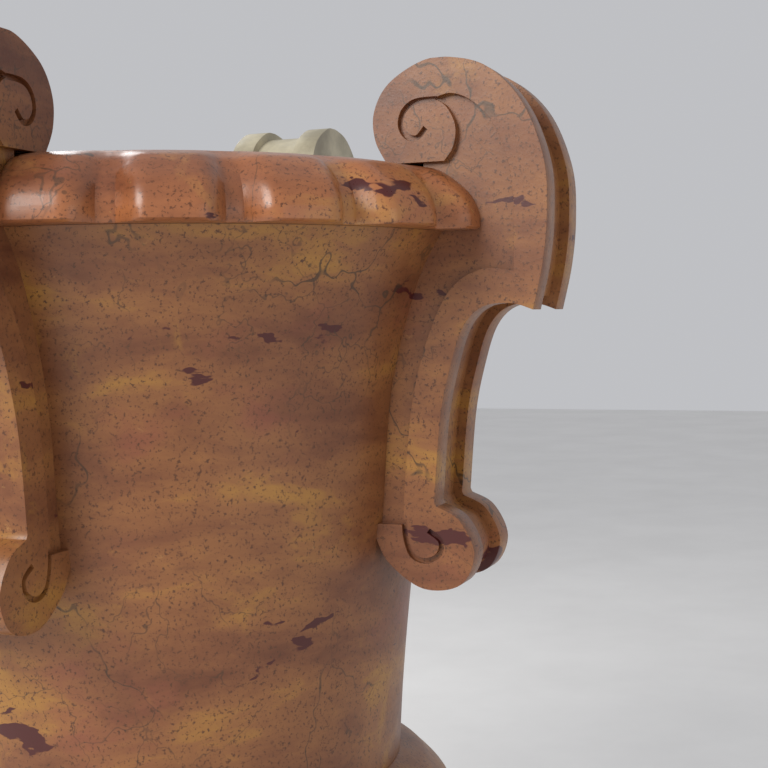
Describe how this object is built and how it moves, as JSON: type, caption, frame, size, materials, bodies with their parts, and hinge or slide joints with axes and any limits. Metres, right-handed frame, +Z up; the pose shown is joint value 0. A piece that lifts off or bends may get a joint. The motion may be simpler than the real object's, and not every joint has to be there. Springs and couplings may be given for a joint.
{
  "type": "garden urn",
  "caption": "Stone urn with a deep bell body, lobed rim, scroll handles, swelling bowl, turned foot and square plinth.",
  "frame": {"origin": "middle of the plinth's underside", "axes": "+Z up along the turning axis; the handles lie on +X, +Y, -X and -Y"},
  "size_m": [0.9826, 0.9826, 1.2583],
  "materials": {
    "body_marble": "polished brown marble with ochre bands, dark red inclusions and thin dark veins",
    "handle_marble": "polished brown and ochre marble with dark red inclusions",
    "rim_marble": "polished orange marble",
    "pale_marble": "honed grey beige marble",
    "lead": "dull lead sheet",
    "brass": "plain drawn rod",
    "steel": "plain stainless"
  },
  "bodies": {
    "root": {"plinth": "body_marble", "foot_setting_ring": "lead", "foot": "body_marble", "knop": "body_marble", "lower_bowl": "body_marble", "bell_body": "body_marble", "lobed_rim": "rim_marble", "tie_rod": "steel", "lower_washer": "steel", "lower_nut": "steel", "upper_washer": "steel", "upper_nut": "steel", "right_handle": "handle_marble", "right_handle_upper_dowel": "brass", "right_handle_lower_dowel": "brass", "back_handle": "pale_marble", "back_handle_upper_dowel": "brass", "back_handle_lower_dowel": "brass", "left_handle": "handle_marble", "left_handle_upper_dowel": "brass", "left_handle_lower_dowel": "brass", "front_handle": "handle_marble", "front_handle_upper_dowel": "brass", "front_handle_lower_dowel": "brass"}
  },
  "joints": []
}
